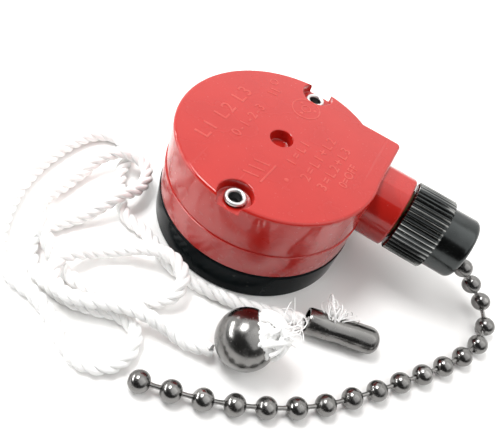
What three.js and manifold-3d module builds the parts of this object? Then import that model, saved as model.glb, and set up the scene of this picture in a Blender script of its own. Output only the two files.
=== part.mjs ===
// Pull cord switch: a moulded drum housing on a terminal base, with a ball chain through a threaded
// nozzle, and a loose pull cord with its connector and hollow knob.
// Millimetres, +Z up. The origin is the centre of the base's underside, +X is the nozzle's direction.
import * as THREE from "three";
import { mergeVertices } from "three/addons/utils/BufferGeometryUtils.js";
import Module from "manifold-3d";

const wasm = await Module();
wasm.setup();

// Driving dimensions
const GAP = 0.3; // left between pieces that touch
const TOTAL_HEIGHT = 18;
const BASE_HEIGHT = 5.3;
const BASE_RADIUS = 16.1;
const SKIRT_TOP = 10.5; // where the housing's wall steps in
const SKIRT_RADIUS = 15.95;
const DRUM_RADIUS = 15.75;
const CORNER_X = 15.6; // the square shoulder beside the neck
const CORNER_Y = 13.05;
const CORNER_ROUND = 0.8;
const RIM_BEVEL = 0.5;
const WALL = 1.65;
const CAVITY_RADIUS = DRUM_RADIUS - WALL;
const CAVITY_TOP = TOTAL_HEIGHT - 1.6;

const RIVET_Y = 13.5;
const RIVET_RADIUS = 1.15;
const RIVET_BORE = 0.8;
const RIVET_FLARE = 1.55;
const RIVET_BOSS = 2.9;
const POCKET_Y = 13.9;
const POCKET_RADIUS = 2.5;
const POCKET_DEPTH = 1.5;

const NOZZLE_Y = 5.92; // the chain's line
const NOZZLE_Z = 11.6;
const NECK_RADIUS = 5.8;
const NECK_FLAT = 5.55; // height of the neck's flat above its axis
const NECK_END = 20.5;
const THREAD_RADIUS = 3.9;
const CHAIN_BORE = 2.1;
const COLLAR_RADIUS = 4.5;
const COLLAR_X = [16.2, 17.4];
const NUT_START = NECK_END + 0.4;
const KNURL_END = 27.2;
const NUT_END = 31.9;
const KNURL_RADIUS = 5.8;
const KNURL_DEPTH = 0.3;
const KNURL_COUNT = 38;
const NOSE_RADIUS = 4.95;
const NOSE_LIP = 1.2;
const MOUTH_RADIUS = 2.3;

const PIN_RADIUS = 1.2;
const PIN_BORE = 1.5;
const PIN_TOP = 15.6;
const TOP_HOLE = 1.75;
const STROKE = 10; // the chain's travel
const DISC_Z = [5.6, 6.0];
const ROTOR_Z = [6.3, 7.35];
const ROTOR_RADIUS = 9.6;
const DETENT_COUNT = 8;
const RATCHET_Z = [7.65, 8.45];
const PLATE_Z = [8.75, 9.65];
const PLATE_RADIUS = 9.3;
const HUB_RADIUS = 2;
const HUB_TOP = 13.9;
const END_PIN_RADIUS = 0.8;
const SLOT_WIDTH = 2.5;
const SLOT_ANGLE = Math.atan2(NOZZLE_Y, -STROKE / 2); // where the slot stands at rest

const BEAD_RADIUS = 1.5;
const BEAD_PITCH = 4.3;
const LINK_RADIUS = 0.35;
const MOUTH_BEAD_X = 31; // the bead that rests in the nut's mouth
const INNER_BEADS = 8;

const CORD_DIAMETER = 2;
const CORD_STEPS = 78;
const CHAIN_STEPS = 28;
const KNOB_RADIUS = 4.3;
const KNOB_WALL = 0.55;
const KNOB_CENTRE = new THREE.Vector3(10.7, -23.2, 4.4);
const KNOB_AXIS = new THREE.Vector3(0.71, 0.52, 0.47).normalize(); // from the cord's hole to the open side
const KNOB_OPENING = 0.95; // radians between the axis and the open side's rim
const CONNECTOR_START = new THREE.Vector3(16.7, -13.9, 2.15);
const CONNECTOR_END = new THREE.Vector3(27.4, -10.7, 2.15);

// The cord's line, from its connector to its knob.
const CORD_ROUTE = [
  [16.2, -14.1, 2.1], [12.6, -15.2, 1.4], [8.6, -16.5, 1.1], [4.4, -17.6, 1.1], [0.2, -18.1, 1.1],
  [-4.2, -17.8, 1.1], [-8.2, -16.3, 1.1], [-11.4, -15.2, 1.1], [-14.6, -14.8, 1.1], [-17.4, -13, 1.1],
  [-19.7, -10.3, 1.1], [-21.5, -7.3, 1.1], [-22.8, -4.1, 1.1], [-24.9, -2.2, 1.1], [-27.8, -2.3, 1.1],
  [-30, -4.5, 1.1], [-31.1, -7.9, 1.1], [-31.5, -11.6, 1.1], [-31.4, -15.6, 1.1], [-30.7, -19.6, 1.1],
  [-29.2, -23.8, 1.1], [-27, -27.8, 1.1], [-24, -31, 1.1], [-20.2, -32.6, 1.1], [-16.4, -32.9, 1.1],
  [-12.8, -34, 1.1], [-9.2, -35.8, 1.1], [-5.6, -36.8, 1.1], [-2.5, -35.5, 1.1], [-1.2, -32.5, 1.1],
  [-2.5, -29.5, 1.1], [-5.6, -28.7, 1.1], [-8.9, -29.9, 1.1], [-12.2, -30.8, 1.1], [-15.6, -30.7, 1.1],
  [-19, -29.9, 1.1], [-21.8, -27.7, 1.1], [-22.8, -24.6, 1.1], [-21.4, -21.4, 1.1], [-19.8, -18.6, 1.4],
  [-18.3, -15.9, 2.6], [-17.1, -13.2, 3.5], [-16.1, -10.2, 3.2], [-16.9, -7, 3.1], [-19.4, -5.2, 3.2],
  [-22.3, -5.8, 3.5], [-24.8, -8.2, 2.4], [-25.7, -11.6, 1.3], [-26, -15.4, 1.1], [-26.2, -18.6, 1.4],
  [-25.5, -21.6, 2.4], [-23.4, -24, 3.5], [-20.8, -25.7, 2.7], [-18.2, -27, 1.4], [-15.2, -27.9, 1.1],
  [-12, -28, 1.1], [-8.9, -27.4, 1.1], [-5.8, -26.1, 1.1], [-3.1, -24.4, 1.2], [-1.1, -22, 2.2],
  [-1.6, -19.5, 3.2], [-3.8, -18.1, 3.5], [-6.4, -18.1, 3.5], [-9, -19, 2.9], [-11.4, -20.3, 1.9],
  [-13.9, -22.6, 1.6], [-15.8, -25.3, 2.7], [-16.6, -28, 3.6], [-15.3, -30.5, 3.5], [-12.7, -31.4, 3.4],
  [-9.7, -30.4, 3.4], [-6.5, -28.9, 3.4], [-3, -27.7, 3.2], [0.9, -27, 2], [4.2, -26.9, 1.5],
  [7.45, -26, 2],
];

// The chain's line outside the nozzle, from the mouth's bead to its free end.
const CHAIN_ROUTE = [
  [32.9, 6, 10.6], [33.9, 6.3, 8.1], [37.1, 7, 5.2], [40.2, 7.2, 2.8], [42.3, 4.4, 1.7], [42.1, 0.2, 1.6],
  [40.2, -3.9, 1.55], [37.8, -7.5, 1.55], [35.2, -10.9, 1.55], [29.8, -17.5, 1.55], [24, -23.8, 1.55],
  [20.6, -26.5, 1.55], [17, -28.8, 1.55], [13.2, -30.8, 1.55], [9.3, -32.5, 1.55], [1.2, -35.1, 1.55],
];

// Finishes
const finish = (color, roughness, metalness) =>
  new THREE.MeshStandardMaterial({ color, roughness, metalness });
const RED_PLASTIC = finish(0xdc3a36, 0.3, 0);
const BLACK_PLASTIC = finish(0x141818, 0.25, 0);
const BLACK_NICKEL = finish(0x3a3a3c, 0.2, 1);
const BRIGHT_ZINC = finish(0xd0d0ce, 0.3, 1);
const BRASS = finish(0xb99a4a, 0.35, 1);
const COPPER = finish(0xb8704a, 0.35, 1);
const SPRING_STEEL = finish(0x9a9a98, 0.3, 1);
const CREAM_NYLON = finish(0xe6dfc8, 0.5, 0);
const WHITE_CORD = finish(0xf2f0ec, 0.8, 0);

const part = new THREE.Group();

// Solids

/** A closed geometry as a manifold-3d solid. */
function solid(geometry) {
  const plain = geometry.clone();
  plain.deleteAttribute("normal");
  plain.deleteAttribute("uv");
  const merged = mergeVertices(plain, 1e-4);
  return new wasm.Manifold(
    new wasm.Mesh({
      numProp: 3,
      vertProperties: new Float32Array(merged.attributes.position.array),
      triVerts: new Uint32Array(merged.index.array),
    }),
  );
}

/** A solid turned back into a geometry. */
function geometryOf(body) {
  const mesh = body.getMesh();
  const geometry = new THREE.BufferGeometry();
  geometry.setAttribute("position", new THREE.BufferAttribute(mesh.vertProperties, 3));
  geometry.setIndex(new THREE.BufferAttribute(mesh.triVerts, 1));
  return geometry;
}

const join = (...bodies) => bodies.reduce((sum, body) => sum.add(body));
const cut = (body, ...tools) => tools.reduce((left, tool) => left.subtract(tool), body);

/** Adds one named piece to the part. */
function addPiece(name, shape, material) {
  const geometry = shape.isBufferGeometry ? shape : geometryOf(shape);
  const mesh = new THREE.Mesh(geometry, material);
  mesh.name = name;
  part.add(mesh);
}

/** An upright extrusion of an outline from one height to another. */
function upright(shape, [bottom, top], curveSegments = 12) {
  const options = { depth: top - bottom, bevelEnabled: false, curveSegments };
  return new THREE.ExtrudeGeometry(shape, options).translate(0, 0, bottom);
}

/** A solid cylinder that stands on Z at x, y. */
function post(radius, [bottom, top], x = 0, y = 0, sides = 32) {
  const geometry = new THREE.CylinderGeometry(radius, radius, top - bottom, sides);
  return solid(geometry.rotateX(Math.PI / 2).translate(x, y, (bottom + top) / 2));
}

/** A solid cylinder on the nozzle's axis. */
function bar(radius, [start, end], sides = 32) {
  const geometry = new THREE.CylinderGeometry(radius, radius, end - start, sides);
  return solid(geometry.rotateZ(-Math.PI / 2).translate((start + end) / 2, NOZZLE_Y, NOZZLE_Z));
}

/** A solid box between two corners. */
function block(low, high) {
  const size = high.map((v, i) => v - low[i]);
  const centre = high.map((v, i) => (v + low[i]) / 2);
  return solid(new THREE.BoxGeometry(...size).translate(...centre));
}

/** A body turned about Z by an angle in radians. */
const turned = (body, angle) => body.rotate([0, 0, THREE.MathUtils.radToDeg(angle)]);

/** An outline standing in a radial plane, extruded to a strip of the given width on +X. */
function radialStrip(points, width) {
  const shape = new THREE.Shape(points.map(([radius, height]) => new THREE.Vector2(radius, height)));
  const geometry = new THREE.ExtrudeGeometry(shape, { depth: width, bevelEnabled: false });
  return solid(geometry.rotateX(Math.PI / 2).translate(0, width / 2, 0));
}

/** A tube along smooth points. */
function tube(points, diameter, steps, sides = 8) {
  const curve = new THREE.CatmullRomCurve3(points.map((p) => new THREE.Vector3(...p)), false, "centripetal");
  const section = new THREE.Shape();
  for (let i = 0; i < sides; i++) {
    const angle = (2 * Math.PI * i) / sides;
    const corner = [(diameter / 2) * Math.cos(angle), (diameter / 2) * Math.sin(angle)];
    if (i) section.lineTo(...corner);
    else section.moveTo(...corner);
  }
  return new THREE.ExtrudeGeometry(section, { steps, extrudePath: curve, bevelEnabled: false });
}

// Outlines

/** The plan of the body: a circle with a square shoulder towards +X and +Y. */
function bodyOutline(radius, grow = radius - DRUM_RADIUS) {
  const endX = CORNER_X + grow;
  const farY = CORNER_Y + grow;
  const startAngle = Math.acos(endX / radius);
  const kinkAngle = Math.asin(farY / radius);
  const shape = new THREE.Shape();
  shape.moveTo(endX, radius * Math.sin(startAngle));
  shape.lineTo(endX, farY - CORNER_ROUND);
  for (const share of [0.25, 0.5, 0.75, 1]) {
    const angle = (share * Math.PI) / 2;
    const x = endX - CORNER_ROUND * (1 - Math.cos(angle));
    shape.lineTo(x, farY - CORNER_ROUND * (1 - Math.sin(angle)));
  }
  shape.lineTo(radius * Math.cos(kinkAngle), farY);
  shape.absarc(0, 0, radius, kinkAngle, startAngle + 2 * Math.PI, false);
  return shape;
}

/** A toothed disc outline: each tooth has its points as [share of the pitch, radius]. */
function toothedOutline(count, tooth) {
  const shape = new THREE.Shape();
  for (let i = 0; i < count; i++) {
    for (const [share, radius] of tooth) {
      const angle = (2 * Math.PI * (i + share)) / count;
      const corner = [radius * Math.cos(angle), radius * Math.sin(angle)];
      if (i || share !== tooth[0][0]) shape.lineTo(...corner);
      else shape.moveTo(...corner);
    }
  }
  return shape;
}

// Casing

function makeHousing() {
  const bottom = BASE_HEIGHT + GAP;
  const skirt = solid(upright(bodyOutline(SKIRT_RADIUS), [bottom, SKIRT_TOP], 30));
  const bevelled = {
    depth: TOTAL_HEIGHT - SKIRT_TOP,
    bevelThickness: RIM_BEVEL,
    bevelSize: RIM_BEVEL,
    bevelOffset: -RIM_BEVEL,
    bevelSegments: 2,
    curveSegments: 30,
  };
  const drum = new THREE.ExtrudeGeometry(bodyOutline(DRUM_RADIUS), bevelled);
  const neckX = [CAVITY_RADIUS - 1, NECK_END];
  const aboveFlat = block([0, 0, NOZZLE_Z + NECK_FLAT], [NECK_END + 1, CORNER_Y, TOTAL_HEIGHT]);
  const outside = join(
    skirt,
    solid(drum.translate(0, 0, SKIRT_TOP - RIM_BEVEL)),
    cut(bar(NECK_RADIUS, neckX, 40), aboveFlat),
  );
  let cavity = post(CAVITY_RADIUS, [bottom - 1, CAVITY_TOP], 0, 0, 48);
  cavity = cut(cavity, post(PIN_BORE + 1.5, [PIN_TOP - 1, TOTAL_HEIGHT]));
  for (const side of [-1, 1]) {
    cavity = cut(cavity, post(RIVET_BOSS, [0, TOTAL_HEIGHT], 0, side * RIVET_Y));
  }
  let housing = cut(
    outside,
    cavity,
    post(TOP_HOLE, [CAVITY_TOP - 4, TOTAL_HEIGHT + 1]),
    bar(THREAD_RADIUS + GAP, [CAVITY_RADIUS - 4, NECK_END + 1]),
    bar(COLLAR_RADIUS + GAP, [COLLAR_X[0] - GAP, COLLAR_X[1] + GAP]),
  );
  for (const side of [-1, 1]) {
    housing = cut(
      housing,
      post(POCKET_RADIUS, [TOTAL_HEIGHT - POCKET_DEPTH, TOTAL_HEIGHT + 1], 0, side * POCKET_Y, 40),
      post(RIVET_RADIUS + GAP, [0, TOTAL_HEIGHT], 0, side * RIVET_Y, 24),
    );
  }
  addPiece("housing", housing, RED_PLASTIC);
}

const WIRE_HOLE_AT = 9.2;
const TERMINAL_COUNT = 4;
const terminalAngle = (i) => (2 * Math.PI * (i + 0.5)) / TERMINAL_COUNT;

function makeBase() {
  const floor = 2; // thickness under the terminals
  const recess = 11.6;
  const counterbore = 2.3;
  let base = cut(
    solid(upright(bodyOutline(BASE_RADIUS), [0, BASE_HEIGHT], 30)),
    post(recess, [floor, BASE_HEIGHT + 1], 0, 0, 48),
    post(PIN_BORE, [PIN_RADIUS - GAP, BASE_HEIGHT]),
  );
  for (const side of [-1, 1]) {
    base = cut(
      base,
      post(RIVET_RADIUS + GAP, [-1, BASE_HEIGHT + 1], 0, side * RIVET_Y, 24),
      post(counterbore, [-1, 1], 0, side * RIVET_Y),
    );
  }
  for (let i = 0; i < TERMINAL_COUNT; i++) {
    base = cut(base, turned(post(1.2, [-1, floor + 1], WIRE_HOLE_AT, 0, 20), terminalAngle(i)));
  }
  addPiece("terminal_base", base, BLACK_PLASTIC);
}

function makeRivets() {
  const top = TOTAL_HEIGHT - POCKET_DEPTH + GAP;
  const bottom = GAP;
  const profile = [
    [RIVET_BORE, bottom], [1.9, bottom], [1.9, bottom + 0.4], [RIVET_RADIUS, bottom + 0.4], [RIVET_RADIUS, top],
    [RIVET_FLARE, top], [RIVET_FLARE, top + 0.25], [1.3, top + 0.4], [RIVET_BORE + 0.1, top + 0.3],
    [RIVET_BORE, top], [RIVET_BORE, bottom],
  ].map((p) => new THREE.Vector2(...p));
  for (const [name, side] of [["front_rivet", -1], ["rear_rivet", 1]]) {
    const tubeShape = new THREE.LatheGeometry(profile, 20).rotateX(Math.PI / 2);
    addPiece(name, solid(tubeShape.translate(0, side * RIVET_Y, 0)), BRIGHT_ZINC);
  }
}

// Nozzle

function makeNozzle() {
  const end = NUT_END - NOSE_LIP - GAP;
  const bush = join(bar(THREAD_RADIUS, [CAVITY_RADIUS + 0.5, end], 40), bar(COLLAR_RADIUS, COLLAR_X, 40));
  addPiece("threaded_nozzle", cut(bush, bar(CHAIN_BORE, [0, NUT_END])), BRASS);
}

function makeNut() {
  const valley = KNURL_RADIUS - KNURL_DEPTH;
  const tooth = [[0, valley], [0.25, valley], [0.5, KNURL_RADIUS], [0.75, KNURL_RADIUS]];
  const ring = upright(toothedOutline(KNURL_COUNT, tooth), [NUT_START, KNURL_END]);
  ring.rotateY(Math.PI / 2).translate(0, NOZZLE_Y, NOZZLE_Z);
  const nut = cut(
    join(solid(ring), bar(NOSE_RADIUS, [KNURL_END - 1, NUT_END], 48)),
    bar(THREAD_RADIUS + GAP, [NUT_START - 1, NUT_END - NOSE_LIP], 40),
    bar(MOUTH_RADIUS, [NUT_START, NUT_END + 1]),
  );
  addPiece("nozzle_nut", nut, BLACK_NICKEL);
}

// Mechanism

function makePivot() {
  addPiece("pivot_pin", post(PIN_RADIUS, [PIN_RADIUS, PIN_TOP], 0, 0, 24), SPRING_STEEL);
}

function makeRotor() {
  const sector = new THREE.Shape();
  const sweep = 1.6 * Math.PI;
  sector.absarc(0, 0, 8, 0, sweep, false);
  sector.absarc(0, 0, 3.2, sweep, 0, true);
  addPiece("contact_disc", solid(upright(sector, DISC_Z, 12)), COPPER);

  let rotor = cut(post(ROTOR_RADIUS, ROTOR_Z, 0, 0, 48), post(PIN_BORE, [0, TOTAL_HEIGHT], 0, 0, 24));
  for (let i = 0; i < DETENT_COUNT; i++) {
    const angle = (2 * Math.PI * i) / DETENT_COUNT;
    rotor = cut(rotor, turned(post(0.9, [0, TOTAL_HEIGHT], ROTOR_RADIUS + 0.2, 0, 10), angle));
  }
  addPiece("contact_rotor", rotor, CREAM_NYLON);

  const wheel = solid(upright(toothedOutline(DETENT_COUNT, [[0, 3.8], [0.9, 5]]), RATCHET_Z));
  addPiece("ratchet_wheel", cut(wheel, post(PIN_BORE, [0, TOTAL_HEIGHT], 0, 0, 24)), SPRING_STEEL);
}

function makeDriver() {
  const slotStart = NOZZLE_Y - END_PIN_RADIUS - 0.2 + SLOT_WIDTH / 2;
  const slotEnd = PLATE_RADIUS - 0.6 - SLOT_WIDTH / 2;
  const slot = join(
    post(SLOT_WIDTH / 2, [0, TOTAL_HEIGHT], slotStart, 0, 24),
    post(SLOT_WIDTH / 2, [0, TOTAL_HEIGHT], slotEnd, 0, 24),
    block([slotStart, -SLOT_WIDTH / 2, 0], [slotEnd, SLOT_WIDTH / 2, TOTAL_HEIGHT]),
  );
  const drum = cut(
    join(post(PLATE_RADIUS, PLATE_Z, 0, 0, 48), post(HUB_RADIUS, [PLATE_Z[0], HUB_TOP], 0, 0, 24)),
    post(PIN_BORE, [0, TOTAL_HEIGHT], 0, 0, 24),
    turned(slot, SLOT_ANGLE),
  );
  addPiece("pull_drum", drum, CREAM_NYLON);

  const arm = new THREE.Shape([
    [4.9, -0.6], [5.6, -0.9], [8.4, -3.2], [8.9, -2.2], [6, 0.6], [5.4, 0.7],
  ].map((p) => new THREE.Vector2(...p)));
  const pawl = turned(solid(upright(arm, RATCHET_Z)), -Math.PI / DETENT_COUNT);
  addPiece("drive_pawl", pawl, SPRING_STEEL);
}

function makeSprings() {
  const turns = 5;
  const perTurn = 10;
  const low = PLATE_Z[1] + 0.75;
  const rise = 3.2;
  const coil = Array.from({ length: turns * perTurn + 1 }, (_, i) => {
    const angle = (2 * Math.PI * i) / perTurn;
    return [3 * Math.cos(angle), 3 * Math.sin(angle), low + (rise * i) / (turns * perTurn)];
  });
  addPiece("return_spring", solid(tube(coil, 0.5, turns * perTurn, 5)), SPRING_STEEL);

  const leaf = new THREE.Shape([
    [-5, 12.2], [-5, 11.7], [-1.2, 10.9], [0, 10.2], [1.2, 10.9], [5, 11.7], [5, 12.2], [1.3, 11.4], [0, 10.7],
    [-1.3, 11.4],
  ].map((p) => new THREE.Vector2(...p)));
  addPiece("detent_spring", turned(solid(upright(leaf, ROTOR_Z)), Math.PI / 2), SPRING_STEEL);
}

function makeTerminals() {
  const blade = [[5.6, 4.6], [10.3, 4.6], [10.3, 2.3], [10.8, 2.3], [10.8, 5.1], [5.6, 5.1]];
  const clamp = [[6.2, 2.3], [6.6, 2.3], [6.6, 3.6], [8, 2.6], [8.3, 2.9], [6.7, 4.2], [6.2, 4.2]];
  for (let i = 0; i < TERMINAL_COUNT; i++) {
    addPiece("terminal_contact_" + (i + 1), turned(radialStrip(blade, 3.2), terminalAngle(i)), BRASS);
    addPiece("wire_clamp_" + (i + 1), turned(radialStrip(clamp, 2.6), terminalAngle(i)), SPRING_STEEL);
  }
}

// Chain

function makeInnerChain() {
  const firstBead = MOUTH_BEAD_X - (INNER_BEADS - 1) * BEAD_PITCH;
  const pinX = -STROKE / 2;
  let chain = bar(LINK_RADIUS, [pinX + END_PIN_RADIUS + GAP, MOUTH_BEAD_X], 6);
  for (let i = 0; i < INNER_BEADS; i++) {
    const bead = new THREE.SphereGeometry(BEAD_RADIUS, 8, 6).rotateZ(Math.PI / 2);
    chain = join(chain, solid(bead.translate(firstBead + i * BEAD_PITCH, NOZZLE_Y, NOZZLE_Z)));
  }
  addPiece("inner_chain", chain, BLACK_NICKEL);
  const pin = post(END_PIN_RADIUS, [PLATE_Z[0], NOZZLE_Z + 1], pinX, NOZZLE_Y, 20);
  addPiece("chain_end_pin", pin, BRASS);
}

function makeFreeChain() {
  addPiece("bead_chain", solid(tube(CHAIN_ROUTE, 2 * BEAD_RADIUS, CHAIN_STEPS)), BLACK_NICKEL);
}

// Pull cord

/** A lathed shape on +Y moved to stand along a line in space. */
function placedLathe(profile, sides, from, direction) {
  const up = new THREE.Vector3(0, 1, 0);
  const turn = new THREE.Quaternion().setFromUnitVectors(up, direction);
  const lathe = new THREE.LatheGeometry(profile.map((p) => new THREE.Vector2(...p)), sides);
  return solid(lathe.applyQuaternion(turn).translate(from.x, from.y, from.z));
}

function makeConnector() {
  const along = CONNECTOR_END.clone().sub(CONNECTOR_START);
  const length = along.length();
  const outer = CORD_DIAMETER / 2 + 1.05;
  const waist = outer - 0.35;
  const bore = 1.45;
  const profile = [
    [bore, 0], [outer - 0.3, 0], [outer, 0.4], [outer, 0.38 * length], [waist, 0.5 * length],
    [outer, 0.64 * length], [outer, length - 1], [outer - 0.7, length], [bore - 0.4, length],
    [bore, length - 0.7], [bore, 0],
  ];
  const barrel = placedLathe(profile, 24, CONNECTOR_START, along.normalize());
  addPiece("cord_connector", barrel, BLACK_NICKEL);
}

function makeCord() {
  addPiece("pull_cord", solid(tube(CORD_ROUTE, CORD_DIAMETER, CORD_STEPS)), WHITE_CORD);
}

function makeKnob() {
  const inner = KNOB_RADIUS - KNOB_WALL;
  const hole = 1.35; // radius of the cord's hole
  const steps = 8;
  const first = Math.asin(hole / KNOB_RADIUS);
  const last = Math.PI - KNOB_OPENING;
  const arc = (radius, from, to) =>
    Array.from({ length: steps + 1 }, (_, i) => {
      const angle = from + ((to - from) * i) / steps;
      return [radius * Math.sin(angle), -radius * Math.cos(angle)];
    });
  const outside = arc(KNOB_RADIUS, first, last);
  const inside = arc(inner, last, Math.asin(hole / inner));
  const profile = [...outside, ...inside, outside[0]];
  addPiece("pull_knob", placedLathe(profile, 24, KNOB_CENTRE, KNOB_AXIS), BLACK_NICKEL);

  const knot = new THREE.SphereGeometry(2.7, 14, 10);
  const middle = KNOB_CENTRE.clone().addScaledVector(KNOB_AXIS, 0.9);
  addPiece("cord_knot", solid(knot.translate(middle.x, middle.y, middle.z)), WHITE_CORD);
}

makeHousing();
makeBase();
makeRivets();
makeNozzle();
makeNut();
makePivot();
makeRotor();
makeDriver();
makeSprings();
makeTerminals();
makeInnerChain();
makeFreeChain();
makeConnector();
makeCord();
makeKnob();

export default part;
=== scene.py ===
"""Looks for a pull cord switch.

A moulded drum housing on its terminal base, a knurled nut on the nozzle, a ball chain, and a loose
twisted cord with a crimped connector and a hollow knob.

Metres, +Z up. The origin is the centre of the base's underside and +X is the nozzle's direction.
"""

import logging
import math
import random
from dataclasses import dataclass
from enum import Enum
from typing import Any, Sequence

import bmesh
import bpy
from mathutils import Matrix, Vector, noise


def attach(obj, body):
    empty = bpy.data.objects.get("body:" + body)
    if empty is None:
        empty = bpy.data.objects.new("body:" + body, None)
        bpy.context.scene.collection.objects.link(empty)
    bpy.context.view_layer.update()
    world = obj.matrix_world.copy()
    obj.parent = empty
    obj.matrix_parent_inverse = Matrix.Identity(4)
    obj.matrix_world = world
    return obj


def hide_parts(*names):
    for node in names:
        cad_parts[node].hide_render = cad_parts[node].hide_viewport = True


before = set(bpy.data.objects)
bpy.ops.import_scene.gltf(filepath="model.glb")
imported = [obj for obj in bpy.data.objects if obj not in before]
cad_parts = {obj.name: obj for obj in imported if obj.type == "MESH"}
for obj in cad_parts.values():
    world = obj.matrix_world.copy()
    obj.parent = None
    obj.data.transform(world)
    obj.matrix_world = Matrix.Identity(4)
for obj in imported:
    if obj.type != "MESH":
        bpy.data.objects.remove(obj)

LOG = logging.getLogger("pull_cord_switch")
MM = 0.001
TAU = 2 * math.pi
UP = Vector((0, 0, 1))
NOZZLE_AXIS = Vector((1, 0, 0))
NOZZLE_LINE = Vector((0, 0.00592, 0.0116))  # a point on the chain's line
OVERLAP = 1 * MM  # how far a form runs into, or past, the one that it is joined to or cuts
PLANE_TOLERANCE = 1e-6
MERGE_DISTANCE = 1e-7

Colour = tuple[float, float, float]
Profile = Sequence[tuple[float, float]]


class Body(Enum):
    """The bodies that pieces ride on."""

    CASING = "casing"
    NUT = "nut"
    CHAIN = "chain"
    CORD = "cord"


class Slot(Enum):
    """The record's material slots."""

    RED_PLASTIC = "red_plastic"
    BLACK_PLASTIC = "black_plastic"
    BLACK_NICKEL = "black_nickel"
    BRIGHT_ZINC = "bright_zinc"
    BRASS = "brass"
    COPPER = "copper"
    SPRING_STEEL = "spring_steel"
    CREAM_NYLON = "cream_nylon"
    WHITE_CORD = "white_cord"


class Carve(Enum):
    """What one form does to another."""

    CUT = "DIFFERENCE"
    JOIN = "UNION"


# Materials


class Socket:
    """A node's output, on which Python arithmetic adds Math nodes."""

    def __init__(self, graph: "Graph", output: bpy.types.NodeSocket) -> None:
        """Wraps one output.

        Args:
            graph: The graph that holds the node.
            output: The node's output.
        """
        self.graph = graph
        self.output = output

    def math(self, operation: str, *values: Any) -> "Socket":
        """Adds a Math node on this socket and further values.

        Args:
            operation: The node's operation.
            *values: Numbers or sockets after this one.

        Returns:
            The node's output.
        """
        return self.graph.numbers(operation, self, *values)

    def __add__(self, other: Any) -> "Socket":
        """This plus other."""
        return self.math("ADD", other)

    __radd__ = __add__

    def __rsub__(self, other: Any) -> "Socket":
        """Other minus this."""
        return self.graph.numbers("SUBTRACT", other, self)

    def __mul__(self, other: Any) -> "Socket":
        """This times other."""
        return self.math("MULTIPLY", other)

    __rmul__ = __mul__

    def above(self, low: float, high: float) -> "Socket":
        """A smooth mask.

        Args:
            low: Where the mask is still 0.
            high: Where it reaches 1.

        Returns:
            The mask.
        """
        settings = {"interpolation_type": "SMOOTHSTEP"}
        values = {"Value": self, "From Min": low, "From Max": high}
        return self.graph.add("ShaderNodeMapRange", settings, values)


class Graph:
    """A material's nodes round one Principled BSDF."""

    def __init__(self, name: str) -> None:
        """Starts a material.

        Args:
            name: The material's name.
        """
        self.material = bpy.data.materials.new(name)
        self.material.use_nodes = True
        self.nodes = self.material.node_tree.nodes
        self.links = self.material.node_tree.links
        self.shader = next(n for n in self.nodes if n.type == "BSDF_PRINCIPLED")

    def put(self, node: bpy.types.Node, values: dict[Any, Any]) -> None:
        """Sets or links a node's inputs.

        Args:
            node: The node.
            values: Each input's name or number, and its number, colour or socket.
        """
        for key, value in values.items():
            if isinstance(value, Socket):
                self.links.new(value.output, node.inputs[key])
            else:
                node.inputs[key].default_value = value

    def add(
        self, kind: str, settings: dict[str, Any], values: dict[Any, Any], output: Any = 0
    ) -> Socket:
        """Adds a node.

        Args:
            kind: The node's type.
            settings: The node's own settings, which are set first.
            values: Each input's name or number, and its number, colour or socket.
            output: The name or number of the output that is wanted.

        Returns:
            The wanted output.
        """
        node = self.nodes.new(kind)
        for key, value in settings.items():
            setattr(node, key, value)
        self.put(node, values)
        return Socket(self, node.outputs[output])

    def numbers(self, operation: str, *values: Any) -> Socket:
        """A Math node on numbers or sockets in order."""
        return self.add("ShaderNodeMath", {"operation": operation}, dict(enumerate(values)))

    def mix(self, factor: Socket, first: Any, second: Any) -> Socket:
        """A colour mix.

        Args:
            factor: 0 for the first colour, 1 for the second.
            first: A colour or a socket.
            second: A colour or a socket.

        Returns:
            The mixed colour.
        """
        pair = {6: (*first, 1) if isinstance(first, tuple) else first}
        pair[7] = (*second, 1) if isinstance(second, tuple) else second
        return self.add("ShaderNodeMix", {"data_type": "RGBA"}, {0: factor, **pair}, 2)

    def object_place(self, stretch: Colour = (1, 1, 1), turn: Colour = (0, 0, 0)) -> Socket:
        """Object coordinates in metres, turned and then stretched."""
        place = self.add("ShaderNodeTexCoord", {}, {}, "Object")
        values = {"Vector": place, "Rotation": turn, "Scale": stretch}
        return self.add("ShaderNodeMapping", {}, values)

    def noise(
        self, place: Socket, scale: float, detail: float = 2, roughness: float = 0.5
    ) -> Socket:
        """A noise value from 0 to 1, mostly near the middle.

        Args:
            place: The coordinates.
            scale: Cells per unit of the coordinates.
            detail: Octaves.
            roughness: How strong the finer octaves are.

        Returns:
            The value.
        """
        values = {"Vector": place, "Scale": scale, "Detail": detail, "Roughness": roughness}
        return self.add("ShaderNodeTexNoise", {}, values, 0)

    def worn_and_highlit_edges(self, low: float, high: float) -> Socket:
        """A mask of convex edges, for edge wear and a painted edge highlight."""
        return self.add("ShaderNodeNewGeometry", {}, {}, "Pointiness").above(low, high)

    def bump(self, height: Socket, depth: float, strength: float = 1.0) -> Socket:
        """A normal from a height field whose full height is depth metres."""
        values = {"Height": height, "Distance": depth, "Strength": strength}
        return self.add("ShaderNodeBump", {}, values)


@dataclass(frozen=True)
class Finish:
    """What every finish has."""

    name: str
    slot: Slot
    colour: Colour
    roughness: float

    def material(self) -> bpy.types.Material:
        """The finish's material, made once."""
        return bpy.data.materials.get(self.name) or self.make()

    def make(self) -> bpy.types.Material:
        """Makes the material."""
        raise NotImplementedError


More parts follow.
